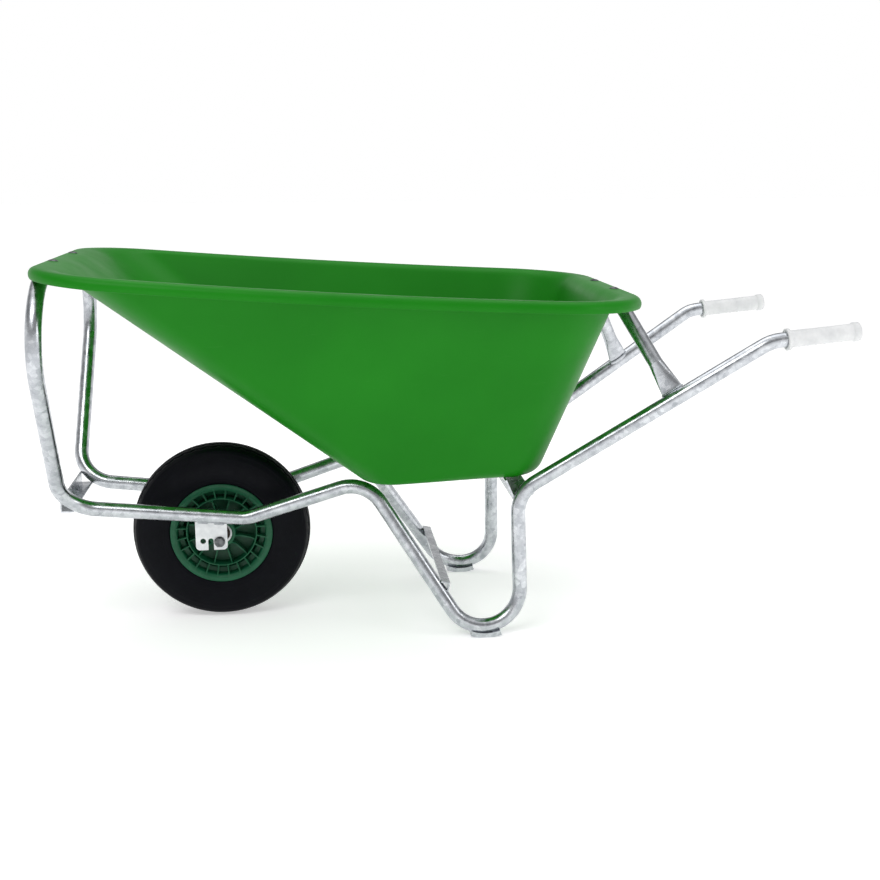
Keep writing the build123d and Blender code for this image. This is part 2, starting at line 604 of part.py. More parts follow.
def tyre():
    """The tyre casing, open to the rim between its two beads."""
    outer_neck, outer = tyre_outline(0)
    inner_neck, inner = tyre_outline(TYRE_WALL)
    heel = BEAD_SEAT_RADIUS + BEAD_FIT
    edges = outer + inner
    for side in (-1, 1):
        edges.append(Polyline(
            (side * outer_neck[0], outer_neck[1]), (side * (BEAD_HALF_WIDTH + 0.4), RIM_FLANGE_RADIUS),
            (side * (BEAD_HALF_WIDTH - BEAD_FIT), heel), (side * BEAD_TOE, heel),
            (side * BEAD_TOE, heel + TYRE_WALL), (side * inner_neck[0], inner_neck[1])))
    return turned(edges)


def inner_tube():
    """The air tube that fills the space between the tyre and the rim's well."""
    def outline(inset):
        neck, arcs = tyre_outline(TYRE_WALL + SEAT_GAP + inset)
        toe = (BEAD_TOE - 1.5 - inset, BEAD_SEAT_RADIUS + TYRE_WALL + 1.5 + inset)
        seat = (RIM_WELL_HALF_WIDTH - 0.8 - inset, BEAD_SEAT_RADIUS + 1 + inset)
        well = (RIM_WELL_HALF_WIDTH - 3 - inset, RIM_WELL_RADIUS + SEAT_GAP + inset)
        half = [neck, toe, seat, well]
        low = Polyline(*half, *[(-y, radius) for y, radius in reversed(half)])
        return arcs + [low]
    return turned(outline(0)) - turned(outline(TUBE_RUBBER))


def valve_stem():
    """The tube's valve: a rubber foot under the rim well and a brass stem towards the axle."""
    foot = valve_bar(VALVE_HOLE_RADIUS - SEAT_GAP, VALVE_SHOULDER_RADIUS, RIM_WELL_RADIUS)
    return foot + valve_bar(VALVE_RADIUS, VALVE_TIP_RADIUS, VALVE_SHOULDER_RADIUS)


def valve_cap():
    """The dust cap over the end of the valve."""
    mouth = VALVE_TIP_RADIUS + VALVE_CAP_DEPTH
    cap = valve_bar(VALVE_RADIUS + VALVE_CAP_WALL, VALVE_TIP_RADIUS - VALVE_CAP_END, mouth)
    return cap - valve_bar(VALVE_RADIUS + BEAD_FIT, VALVE_TIP_RADIUS - VALVE_CAP_GAP, mouth)


# ---- axle, bearings and their fasteners ----
def side_ring(side, outer_radius, inner_radius, near, far):
    """A ring between two distances from the middle of the barrow, on one side."""
    start, end = sorted((side * near, side * far))
    return ring(outer_radius, inner_radius, start, end)


def race(side, outer_radius, inner_radius):
    """A bearing ring with its ball groove."""
    body = side_ring(side, outer_radius, inner_radius, BEARING_INNER_FACE, BEARING_OUTER_FACE)
    middle = side * (BEARING_INNER_FACE + BEARING_OUTER_FACE) / 2
    groove = Torus(BALL_CIRCLE, BALL_RADIUS + RACE_CLEARANCE)
    return body - Pos(0, middle, AXLE_Z) * Rot(90, 0, 0) * groove


def balls(side):
    middle = side * (BEARING_INNER_FACE + BEARING_OUTER_FACE) / 2
    ball = Pos(0, 0, BALL_CIRCLE) * Sphere(BALL_RADIUS)
    step = 360 / BALL_COUNT
    return [Pos(0, middle, AXLE_Z) * Rot(0, step * i, 0) * ball for i in range(BALL_COUNT)]


def seals(side):
    """Two thin shields in the outer ring, clear of the inner ring."""
    outer_radius = BEARING_RADIUS - RING_THICKNESS - BEAD_FIT
    inner_radius = AXLE_RADIUS + RING_THICKNESS + SEAT_GAP
    near = side_ring(side, outer_radius, inner_radius,
                     BEARING_INNER_FACE, BEARING_INNER_FACE + SEAL_THICKNESS)
    far = side_ring(side, outer_radius, inner_radius,
                    BEARING_OUTER_FACE - SEAL_THICKNESS, BEARING_OUTER_FACE)
    return [near, far]


def hexagon(plane, across_corners_radius, height):
    return extrude(plane * RegularPolygon(across_corners_radius, 6), amount=height)


def side_face(side, distance):
    """A plane across the wheel's axis on one side, facing outwards."""
    return Plane(origin=(0, side * distance, AXLE_Z), x_dir=(1, 0, 0), z_dir=(0, side, 0))


def axle():
    """The round axle between the brackets, with a threaded hole in each end."""
    bar = ring(AXLE_RADIUS, 0, -AXLE_HALF_LENGTH, AXLE_HALF_LENGTH)
    for side in (-1, 1):
        bar -= side_ring(side, AXLE_BOLT_RADIUS + THREAD_CLEARANCE, 0,
                         AXLE_HALF_LENGTH - AXLE_BOLT_GRIP, AXLE_HALF_LENGTH)
    return bar


def axle_bolt(side):
    """A hexagon bolt from outside the bracket into the axle's end."""
    seat = BRACKET_OUTER_FACE + AXLE_WASHER_THICKNESS
    tip = AXLE_HALF_LENGTH - AXLE_BOLT_GRIP + AXLE_BOLT_TIP_GAP
    shank = side_ring(side, AXLE_BOLT_RADIUS, 0, tip, seat)
    return shank + hexagon(side_face(side, seat), AXLE_HEAD_RADIUS, AXLE_HEAD_HEIGHT)


# ---- tray fasteners ----
def tray_bolt_places():
    """The four planes on the rim's top face where a bolt stands, front pair first."""
    front = [rim_plane(FRONT_BOLT_X, side * FRONT_BOLT_HALF_SPACING) for side in (-1, 1)]
    rear = [rim_plane(REAR_BOLT_X, side * REAR_BOLT_HALF_SPACING) for side in (-1, 1)]
    return front, rear


NUT_SEAT_DEPTH = TRAY_WALL + SEAT_GAP + 2 * TUBE_RADIUS


def down(plane, radius, start, end):
    """A round bar into the tray's rim from one depth to another."""
    return extrude(plane.offset(-end) * Circle(radius), amount=end - start)


def tray_bolt(plane):
    """A round-headed bolt down through the flange and the hoop."""
    rise = TRAY_HEAD_HEIGHT - TRAY_HEAD_EDGE
    dome_radius = (TRAY_HEAD_RADIUS ** 2 + rise ** 2) / (2 * rise)
    dome = Pos(0, 0, TRAY_HEAD_HEIGHT - dome_radius) * Sphere(dome_radius)
    head = extrude(Circle(TRAY_HEAD_RADIUS), amount=TRAY_HEAD_HEIGHT) & dome
    tail = NUT_SEAT_DEPTH + TRAY_WASHER_THICKNESS + TRAY_NUT_HEIGHT + BOLT_TAIL
    shank = extrude(Circle(TRAY_BOLT_RADIUS), amount=-tail)
    return plane.location * (head + shank)


def tray_washer(plane):
    low = NUT_SEAT_DEPTH + TRAY_WASHER_THICKNESS
    washer = down(plane, TRAY_WASHER_RADIUS, NUT_SEAT_DEPTH, low)
    return washer - down(plane, TRAY_BOLT_RADIUS + SEAT_GAP, NUT_SEAT_DEPTH, low)


def tray_nut(plane):
    low = NUT_SEAT_DEPTH + TRAY_WASHER_THICKNESS + TRAY_NUT_HEIGHT
    nut = hexagon(plane.offset(-low), TRAY_NUT_RADIUS, TRAY_NUT_HEIGHT)
    return nut - down(plane, TRAY_BOLT_RADIUS + THREAD_CLEARANCE, low - TRAY_NUT_HEIGHT, low)


# ---- assembly ----
def build():
    """Every part by name, laid out from the axle."""
    parts = {}
    front_places, rear_places = tray_bolt_places()
    bolt_holes = [down(plane, TRAY_BOLT_HOLE_RADIUS, -1, NUT_SEAT_DEPTH + 1)
                  for plane in front_places + rear_places]
    handles, legs, lowers = [], [], []
    for name, side in SIDES.items():
        handle_solid, parts["handle_tube_" + name] = handle_tube(side)
        leg_solid, parts["leg_tube_" + name] = leg_tube(side)
        lower_solid, parts["lower_tube_" + name] = lower_tube(side)
        handles.append(handle_solid)
        legs.append(leg_solid)
        lowers.append(lower_solid)
        parts["axle_bracket_" + name] = axle_bracket(side, lower_solid)
        parts["foot_plate_" + name] = foot_plate(side, leg_solid)
        parts["grip_" + name] = grip(side)
    parts["front_hoop"] = front_hoop()[1] - bolt_holes[:2]
    parts["rear_hoop"] = rear_hoop(handles) - bolt_holes[2:]
    parts["front_cross_angle"] = front_cross_angle(lowers)
    parts["leg_cross_angle"] = leg_cross_angle(legs)
    parts["tray_cross_angle"] = tray_cross_angle(legs)
    parts["tray"] = tray() - bolt_holes
    parts["front_tray_bolts"] = [tray_bolt(plane) for plane in front_places]
    parts["rear_tray_bolts"] = [tray_bolt(plane) for plane in rear_places]
    parts["tray_washers"] = [tray_washer(plane) for plane in front_places + rear_places]
    parts["tray_nuts"] = [tray_nut(plane) for plane in front_places + rear_places]
    parts["rim"] = rim()
    parts["rim_ribs"] = rim_ribs()
    parts["tyre"] = tyre()
    parts["inner_tube"] = inner_tube()
    parts["valve_stem"] = valve_stem()
    parts["valve_cap"] = valve_cap()
    parts["axle"] = axle()
    parts["axle_bolts"] = [axle_bolt(side) for side in (-1, 1)]
    parts["axle_washers"] = [
        side_ring(side, AXLE_WASHER_RADIUS, AXLE_BOLT_RADIUS + SEAT_GAP,
                  BRACKET_OUTER_FACE, BRACKET_OUTER_FACE + AXLE_WASHER_THICKNESS)
        for side in (-1, 1)]
    sleeve_bore = AXLE_RADIUS + THREAD_CLEARANCE
    parts["axle_spacers"] = [
        side_ring(side, SPACER_RADIUS, sleeve_bore, BEARING_OUTER_FACE, AXLE_HALF_LENGTH)
        for side in (-1, 1)]
    parts["bearing_sleeve"] = ring(
        SPACER_RADIUS, sleeve_bore, -BEARING_INNER_FACE, BEARING_INNER_FACE)
    inner_ring_radius = AXLE_RADIUS + RING_THICKNESS
    parts["bearing_inner_rings"] = [
        race(side, inner_ring_radius, sleeve_bore) for side in (-1, 1)]
    parts["bearing_outer_rings"] = [
        race(side, BEARING_RADIUS, BEARING_RADIUS - RING_THICKNESS) for side in (-1, 1)]
    parts["bearing_balls"] = balls(-1) + balls(1)
    parts["bearing_seals"] = seals(-1) + seals(1)
    return parts


def as_one(shape):
    """A group of separate solids as one compound."""
    return Compound(children=list(shape)) if isinstance(shape, list) else shape


def write(parts):
    """Move the origin to the middle of the base and write one file for each part."""
    os.makedirs("parts", exist_ok=True)
    shapes = {name: as_one(shape) for name, shape in parts.items()}
    front = shapes["lower_tube_left"].bounding_box().min.X
    back = shapes["grip_left"].bounding_box().max.X
    to_origin = Pos(-(front + back) / 2, 0, 0)
    for name, shape in shapes.items():
        export_step(to_origin * shape, "parts/" + name + ".step")
    print("axle at x =", round(-(front + back) / 2, 3), "length", round(back - front, 2))


if __name__ == "__main__":
    write(build())
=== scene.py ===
import math

import bpy
from mathutils import Matrix, Vector


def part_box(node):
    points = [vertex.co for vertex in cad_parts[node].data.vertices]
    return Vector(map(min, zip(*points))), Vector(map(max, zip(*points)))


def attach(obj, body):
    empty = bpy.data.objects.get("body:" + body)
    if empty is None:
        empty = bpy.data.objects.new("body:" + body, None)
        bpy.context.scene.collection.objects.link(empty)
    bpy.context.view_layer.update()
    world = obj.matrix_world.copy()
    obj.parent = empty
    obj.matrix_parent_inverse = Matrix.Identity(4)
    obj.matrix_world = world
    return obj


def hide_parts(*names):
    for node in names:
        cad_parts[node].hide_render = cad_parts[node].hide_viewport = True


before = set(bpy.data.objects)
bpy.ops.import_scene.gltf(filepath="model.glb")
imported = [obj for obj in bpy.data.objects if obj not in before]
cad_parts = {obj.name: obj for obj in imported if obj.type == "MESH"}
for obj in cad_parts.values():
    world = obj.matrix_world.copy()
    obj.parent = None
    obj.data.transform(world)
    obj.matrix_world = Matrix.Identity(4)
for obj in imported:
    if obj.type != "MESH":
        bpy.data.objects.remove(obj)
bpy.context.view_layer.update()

MM = 0.001


def middle(node):
    low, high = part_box(node)
    return (low + high) / 2


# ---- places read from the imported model, and sizes in millimetres from the axle ----
AXLE = middle("axle")
TRAY_LOW, TRAY_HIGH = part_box("tray")
TYRE_RADIUS = (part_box("tyre")[1].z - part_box("tyre")[0].z) / 2 / MM

RIM_BULGE = 20.0
RIM_FRONT_X = (TRAY_LOW.x - AXLE.x) / MM
RIM_REAR_X = (TRAY_HIGH.x - AXLE.x) / MM
RIM_FRONT_Z = 822.0
RIM_REAR_Z = 741.0
RIM_SAG = 9.0
RIM_HALF_WIDTH = TRAY_HIGH.y / MM - RIM_BULGE
RIM_FRONT_CORNER = 165.0
RIM_REAR_CORNER = 195.0
FLANGE_FRONT = 48.0
FLANGE_REAR = 57.0
FLANGE_SIDE = 28.0
FRONT_SLOPE_FALL = 0.794
REAR_WALL_LEAN = 0.353
FLOOR_FRONT_Z = 333.0
FLOOR_REAR_Z = 344.0
FLOOR_HALF_WIDTH = 190.0
FLOOR_CORNER = 70.0
FLOOR_EDGE_ROUND = 44.0
TRAY_WALL = 4.5
LIP_DEPTH = 24.0
LIP_ROUND = 15.0
LIP_TUCK = 1.6
MOUTH_ROLL = 0.42

TUBE_RADIUS = 16.0
BRACKET_WELD_DROP = 17.6
HANDLE_END = (1356.0, 281.0, 662.5)
HANDLE_BEND = (1170.0, 281.0, 645.5)
HIP = (650.0, 194.0, 312.0)
DIP = (62.0, 108.0, 252.0)
FRONT_CORNER = (-333.0, 118.0, 295.0)
REAR_HOOP_FOOT = (982.0, 240.0, 524.0)
REAR_HOOP_TOP = (878.0, 134.5, 721.0)

TREAD_EDGE = 37.0
GROOVE_DEPTH = 3.0
GROOVE_PLACES = (-22.0, -7.5, 7.5, 22.0)
GROOVE_HALF_WIDTH = 2.2
ZIGZAG_COUNT = 48
ZIGZAG_REACH = 2.4
TREAD_DEPTH = 18.0
# Each ring moulded in the sidewall: its radius, its width and how far it stands proud.
SIDEWALL_RINGS = ((122.0, 2.0, 0.7), (128.0, 1.2, 0.5), (172.0, 1.2, 0.5), (184.0, 1.6, 0.8))

# The rim's outlines are (across, radius) points, for one half of its width.
RIM_HALF_OUTLINE = [
    (20.0, 90.0), (20.0, 101.6), (40.2, 101.6), (41.0, 112.6), (41.8, 114.0), (43.0, 114.35),
    (44.3, 114.0), (45.0, 113.0), (45.0, 105.2), (44.2, 103.6), (41.6, 99.8), (40.0, 98.6),
    (24.0, 98.2), (22.4, 97.4), (22.0, 96.0), (22.0, 87.0), (21.4, 86.2), (3.8, 86.0), (3.0, 85.2),
    (3.0, 80.4), (3.8, 79.6), (35.2, 79.5), (36.0, 78.8), (36.0, 77.2), (35.2, 76.5), (3.8, 76.3),
    (3.0, 75.5), (3.0, 33.0), (4.6, 31.2), (44.0, 31.0), (45.0, 30.2), (45.0, 24.3), (44.3, 23.5),
    (30.0, 23.5), (30.0, 19.5)]
CELL_RIB = [
    (2.5, 78.5), (35.2, 78.5), (37.0, 84.0), (43.4, 100.0), (43.6, 103.2), (41.0, 99.6), (24.0, 98.4),
    (21.8, 96.0), (21.8, 86.2), (2.5, 86.2)]
SPOKE_RIB = [
    (2.5, 30.6), (41.0, 30.6), (38.0, 34.0), (31.0, 41.0), (28.0, 50.0), (28.0, 66.0), (31.0, 73.0),
    (35.0, 77.0), (2.5, 77.0)]
CELL_COUNT = 24
SPOKE_COUNT = 12
RIB_THICKNESS = 3.0

GRIP_SLEEVE_START = -142.0
GRIP_SLEEVE_LENGTH = 128.0
GRIP_SLEEVE_RADIUS = 18.3
GRIP_SLEEVE_STEPS = 84
GRIP_WAIST = 0.5
GRIP_RIDGE_HEIGHT = 0.35
GRIP_RIDGE_COUNT = 14

HOOP_END_HALF_WIDTH = 23.6
HOOP_END_HALF_THICKNESS = 5.2
HOOP_WELD_POINTS = 110
HOOP_WELD_SEARCH = 60.0
HALVINGS = 24
HOOP_WELD_RADIUS = 2.3
BRACKET_WELD_RADIUS = 2.6
BEAD_SIDES = 10
RIPPLE_HEIGHT = 0.13
RIPPLE_LENGTH = 3.2

END_STEPS = 10
CORNER_STEPS = 18
SIDE_STEPS = 44

# The mix node repeats its socket names for each kind of data, so its colours go by number.
MIX_FIRST_COLOUR = 6
MIX_SECOND_COLOUR = 7
MIX_COLOUR_RESULT = 2


def place(x, y, z):
    """A point given in millimetres from the axle and the ground, in the frame."""
    return Vector((AXLE.x + x * MM, y * MM, z * MM))


# ---- mesh helpers ----
def grid(name, rows, round_rows=False, caps=False):
    """A smooth mesh over closed rows of points; it may also close from the last row to the first."""
    columns = len(rows[0])
    faces = []
    for i in range(len(rows) if round_rows else len(rows) - 1):
        below, above = i * columns, (i + 1) % len(rows) * columns
        for j in range(columns):
            k = (j + 1) % columns
            faces.append((below + j, below + k, above + k, above + j))
    if caps:
        faces.append(tuple(reversed(range(columns))))
        faces.append(tuple(range((len(rows) - 1) * columns, len(rows) * columns)))
    mesh = bpy.data.meshes.new(name)
    mesh.from_pydata([p for row in rows for p in row], [], faces)
    mesh.polygons.foreach_set("use_smooth", [True] * len(mesh.polygons))
    mesh.validate()
    piece = bpy.data.objects.new(name, mesh)
    bpy.context.scene.collection.objects.link(piece)
    return piece


def arc(centre, radius, start, end, steps):
    """Points (a, b) on an arc; the angles are in degrees."""
    angles = [math.radians(start + (end - start) * i / steps) for i in range(steps + 1)]
    return [(centre[0] + radius * math.cos(a), centre[1] + radius * math.sin(a)) for a in angles]


def axes_across(direction):
    """Two directions at right angles to one another and to the given one."""
    along = direction.normalized()
    helper = Vector((0, 0, 1)) if abs(along.z) < 0.9 else Vector((1, 0, 0))
    first = along.cross(helper).normalized()
    return first, along.cross(first)


def lathe(outline, origin, direction, segments, shape=None):
    """Turns an outline of (along, radius) in millimetres round a line; shape may move each point."""
    along = direction.normalized()
    first, second = axes_across(along)
    rows = []
    for distance, radius in outline:
        row = []
        for i in range(segments):
            angle = 2 * math.pi * i / segments
            a, r = shape(distance, radius, angle) if shape else (distance, radius)
            spoke = first * math.cos(angle) + second * math.sin(angle)
            row.append(origin + along * (a * MM) + spoke * (r * MM))
        rows.append(row)
    return rows


# ---- tray ----
def rim_height(x):
    """The height of the rim's top at x, on its long shallow arc."""
    share = (x - RIM_FRONT_X) / (RIM_REAR_X - RIM_FRONT_X)
    return RIM_FRONT_Z + (RIM_REAR_Z - RIM_FRONT_Z) * share - 4 * RIM_SAG * share * (1 - share)


def chord_height(x):
    """The height at x of the straight line between the rim's two ends."""
    share = (x - RIM_FRONT_X) / (RIM_REAR_X - RIM_FRONT_X)
    return RIM_FRONT_Z + (RIM_REAR_Z - RIM_FRONT_Z) * share


def plan(front, rear, half_width, bulge, front_corner, rear_corner):
    """A closed outline in plan with bowed sides and round corners, always with the same steps."""
    half = [(front, (half_width - front_corner) * i / END_STEPS) for i in range(END_STEPS)]
    half += arc((front + front_corner, half_width - front_corner), front_corner, 180, 90, CORNER_STEPS)
    start, end = front + front_corner, rear - rear_corner
    half += [(start + (end - start) * i / SIDE_STEPS, half_width) for i in range(1, SIDE_STEPS)]
    half += arc((rear - rear_corner, half_width - rear_corner), rear_corner, 90, 0, CORNER_STEPS)
    half += [(rear, (half_width - rear_corner) * (1 - i / END_STEPS)) for i in range(1, END_STEPS + 1)]
    centre, reach = (front + rear) / 2, (rear - front) / 2
    bowed = [(x, y * (1 + bulge / half_width * (1 - ((x - centre) / reach) ** 2))) for x, y in half]
    return bowed + [(x, -y) for x, y in reversed(bowed[1:-1])]


def outward(outline):
    """The outward direction in plan at each point of a closed outline."""
    normals = []
    for i, point in enumerate(outline):
        before, after = outline[i - 1], outline[(i + 1) % len(outline)]
        run = Vector((after[0] - before[0], after[1] - before[1])).normalized()
        normals.append(Vector((-run.y, run.x)))
    return normals


def bent(corner, before, after, share_before, share_after, steps):
    """A smooth turn at a corner, starting and ending part of the way along its two runs."""
    start = corner.lerp(before, share_before)
    end = corner.lerp(after, share_after)
    curve = []
    for i in range(steps + 1):
        t = i / steps
        curve.append(start.lerp(corner, t).lerp(corner.lerp(end, t), t))
    return curve


def tray_top_side():
    """Rows of points over the inside of the bowl, the flange and the outside of the lip."""
    depth = RIM_FRONT_Z - FLOOR_FRONT_Z
    draft = RIM_HALF_WIDTH - FLANGE_SIDE - FLOOR_HALF_WIDTH
    front_wall = TRAY_WALL * math.hypot(1, FRONT_SLOPE_FALL) / FRONT_SLOPE_FALL
    rear_wall = TRAY_WALL * math.hypot(1, REAR_WALL_LEAN)
    side_wall = TRAY_WALL * math.hypot(draft, depth) / depth
    mouth_front = RIM_FRONT_X + FLANGE_FRONT
    mouth_rear = RIM_REAR_X - FLANGE_REAR
    floor_front = mouth_front + (rim_height(mouth_front) - FLOOR_FRONT_Z) / FRONT_SLOPE_FALL
    floor_rear = mouth_rear - (rim_height(mouth_rear) - FLOOR_REAR_Z) * REAR_WALL_LEAN
    floor_rise = (FLOOR_REAR_Z - FLOOR_FRONT_Z) / (floor_rear - floor_front)
    mouth = plan(
        mouth_front + front_wall, mouth_rear - rear_wall, RIM_HALF_WIDTH - FLANGE_SIDE - side_wall,
        RIM_BULGE, RIM_FRONT_CORNER - FLANGE_FRONT - TRAY_WALL, RIM_REAR_CORNER - FLANGE_REAR - TRAY_WALL)
    floor = plan(
        floor_front + front_wall - TRAY_WALL / FRONT_SLOPE_FALL,
        floor_rear - rear_wall + TRAY_WALL * REAR_WALL_LEAN,
        FLOOR_HALF_WIDTH - side_wall + TRAY_WALL * draft / depth, 2.0,
        FLOOR_CORNER - TRAY_WALL, FLOOR_CORNER - TRAY_WALL)
    edge = plan(
        RIM_FRONT_X, RIM_REAR_X, RIM_HALF_WIDTH, RIM_BULGE, RIM_FRONT_CORNER, RIM_REAR_CORNER)
    centre = (floor_front + floor_rear) / 2
    columns = []
    for (mx, my), (fx, fy), (ex, ey), out in zip(mouth, floor, edge, outward(edge)):
        foot = Vector((fx, fy, FLOOR_FRONT_Z + TRAY_WALL + (fx - floor_front) * floor_rise))
        middle_x = centre + (fx - centre) * 0.35
        inner_z = FLOOR_FRONT_Z + TRAY_WALL + (middle_x - floor_front) * floor_rise
        inner = Vector((middle_x, fy * 0.2, inner_z))
        top = Vector((mx, my, chord_height(mx)))
        excess = (top.z - rim_height(mx)) / (top.z - foot.z)
        brim = top.lerp(foot, excess)
        crest = Vector((ex, ey, rim_height(ex)))
        wall_length = (brim - foot).length
        floor_length = (inner - foot).length
        wall_rise = (brim.z - foot.z) / wall_length
        tangent = FLOOR_EDGE_ROUND * math.tan(math.asin(wall_rise) / 2)
        roll = MOUTH_ROLL * (crest - brim).length
        column = [foot.lerp(inner, s) for s in (1.0, 0.75, 0.5, 0.3)]
        column += bent(foot, inner, brim, tangent / floor_length, tangent / wall_length, 8)
        column += [foot.lerp(brim, s) for s in (0.2, 0.3, 0.4, 0.5, 0.6, 0.7, 0.8, 0.87)]
        column += bent(brim, foot, crest, roll * 1.2 / wall_length, roll / (crest - brim).length, 8)
        inset = crest - Vector((out.x, out.y, 0)) * LIP_ROUND
        column.append(column[-1].lerp(inset, 0.5))
        for a, b in arc((-LIP_ROUND, -LIP_ROUND), LIP_ROUND, 90, 0, 8):
            x, y = ex + out.x * a, ey + out.y * a
            column.append(Vector((x, y, rim_height(x) + b)))
        for drop, tuck in ((17.0, 0.1), (19.0, 0.5), (20.5, 1.0), (LIP_DEPTH - TRAY_WALL / 2, LIP_TUCK)):
            column.append(Vector((ex - out.x * tuck, ey - out.y * tuck, rim_height(ex) - drop)))
        columns.append(column)
    return [list(row) for row in zip(*columns)]


def row_normals(rows):
    """The direction out of the top side at each point of the rows."""
    normals = []
    for i, row in enumerate(rows):
        before, after = rows[max(i - 1, 0)], rows[min(i + 1, len(rows) - 1)]
        around = []
        for j in range(len(row)):
            across = after[j] - before[j]
            along = row[(j + 1) % len(row)] - row[j - 1]
            around.append(across.cross(along).normalized())
        normals.append(around)
    return normals


def tray_shell():
    """The tray as one closed skin: its top side, a rounded lower edge and its underside."""
    upper = tray_top_side()
    normals = row_normals(upper)
    if normals[0][0].z < 0:
        normals = [[-n for n in row] for row in normals]
    lower = [[p - n * TRAY_WALL for p, n in zip(row, around)] for row, around in zip(upper, normals)]
    edge = []
    for angle in (30, 60, 90, 120, 150):
        turn = math.radians(angle)
        edge.append([
            (a + b) / 2 + (a - b) / 2 * math.cos(turn) - Vector((0, 0, TRAY_WALL / 2 * math.sin(turn)))
            for a, b in zip(upper[-1], lower[-1])])
    rows = upper + edge + list(reversed(lower))
    return grid("tray_shell", [[place(*p) for p in row] for row in rows], caps=True)


# ---- wheel ----
def smooth_step(value, low, high):
    t = min(max((value - low) / (high - low), 0.0), 1.0)
    return t * t * (3 - 2 * t)


def arc_through(first, second, third, steps):
    """Points on the circle through three (a, b) points, from the first to the third."""
    ax, ay = first
    bx, by = second
    cx, cy = third
    d = 2 * (ax * (by - cy) + bx * (cy - ay) + cx * (ay - by))
    ux = ((ax ** 2 + ay ** 2) * (by - cy) + (bx ** 2 + by ** 2) * (cy - ay)
          + (cx ** 2 + cy ** 2) * (ay - by)) / d
    uy = ((ax ** 2 + ay ** 2) * (cx - bx) + (bx ** 2 + by ** 2) * (ax - cx)
          + (cx ** 2 + cy ** 2) * (bx - ax)) / d
    radius = math.hypot(ax - ux, ay - uy)
    start, mid, end = (math.atan2(y - uy, x - ux) for x, y in (first, second, third))
    turn = (end - start) % (2 * math.pi)
    if (mid - start) % (2 * math.pi) > turn:
        turn -= 2 * math.pi
    return [(ux + radius * math.cos(start + turn * i / steps),
             uy + radius * math.sin(start + turn * i / steps)) for i in range(steps + 1)]


def sidewall_relief(radius):
    """How far the sidewall stands proud of its plain curve, for the rings moulded in it."""
    relief = 0.0
    for ring_radius, width, height in SIDEWALL_RINGS:
        relief += height * (1 - smooth_step(abs(radius - ring_radius), 0, width))
    return relief


def tyre_shape(across, radius, angle):
    """Cuts the zigzag grooves into the tread."""
    if radius < TYRE_RADIUS - TREAD_DEPTH:
        return across, radius
    wave = abs((angle * ZIGZAG_COUNT / (2 * math.pi)) % 1 - 0.5) * 4 - 1
    cut = 0.0
    for centre in GROOVE_PLACES:
        distance = abs(across - centre - wave * ZIGZAG_REACH)
        cut = max(cut, 1 - smooth_step(distance, GROOVE_HALF_WIDTH * 0.6, GROOVE_HALF_WIDTH * 1.3))
    return across, radius - GROOVE_DEPTH * cut


def tyre():
    low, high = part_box("tyre")
    half = (high.y - low.y) / 2 / MM - 0.9
    side = arc_through((44.2, 116.6), (half, 154.0), (TREAD_EDGE, 189.4), 44)
    side = [(y + sidewall_relief(r), r) for y, r in side]
    crown = arc_through((TREAD_EDGE, 189.4), (0, TYRE_RADIUS - 0.05), (-TREAD_EDGE, 189.4), 96)
    far = [(-y, r) for y, r in reversed(side)]
    inner = arc_through((-37.5, 118.6), (-half + 5, 154.0), (-32.5, 185.0), 10)
    inner += arc_through((-32.5, 185.0), (0, 195.0), (32.5, 185.0), 12)[1:]
    inner += arc_through((32.5, 185.0), (half - 5, 154.0), (37.5, 118.6), 10)[1:]
    bead = [(-40.4, 114.2), (-39.8, 101.8), (-26.0, 101.8), (-26.0, 106.6)]
    outline = side + crown[1:-1] + far + bead + inner + [(-y, r) for y, r in reversed(bead)]
    rows = lathe(outline, AXLE, Vector((0, 1, 0)), 480, tyre_shape)
    return grid("tyre_casing", rows, round_rows=True)


def wheel_rim():
    """The rim's barrel, inner ring, web and hub, with their edges eased."""
    outline = RIM_HALF_OUTLINE + [(-y, r) for y, r in reversed(RIM_HALF_OUTLINE)]
    return grid("wheel_rim", lathe(outline, AXLE, Vector((0, 1, 0)), 180), round_rows=True)


def wheel_ribs():
    """The short ribs that make the rim's ring of cells, and the long ones from the hub."""
    points, faces = [], []
    for outline, count in ((CELL_RIB, CELL_COUNT), (SPOKE_RIB, SPOKE_COUNT)):
        size = len(outline)
        for number in range(count):
            angle = 2 * math.pi * (number + 0.5) / count
            spoke = Vector((math.sin(angle), 0, math.cos(angle)))
            across = Vector((math.cos(angle), 0, -math.sin(angle)))
            for side in (-1, 1):
                first = len(points)
                for face_side in (-1, 1):
                    for y, radius in outline:
                        points.append(
                            AXLE + spoke * (radius * MM) + Vector((0, side * y * MM, 0))
                            + across * (face_side * side * RIB_THICKNESS / 2 * MM))
                faces.append(tuple(range(first, first + size)))
                faces.append(tuple(reversed(range(first + size, first + 2 * size))))
                for i in range(size):
                    k = (i + 1) % size
                    faces.append((first + k, first + i, first + size + i, first + size + k))
    mesh = bpy.data.meshes.new("wheel_ribs")
    mesh.from_pydata(points, [], faces)
    mesh.validate()
    piece = bpy.data.objects.new("wheel_ribs", mesh)
    bpy.context.scene.collection.objects.link(piece)
    ease = piece.modifiers.new("eased_edges", "BEVEL")
    ease.width = 0.5 * MM
    ease.segments = 2
    return piece


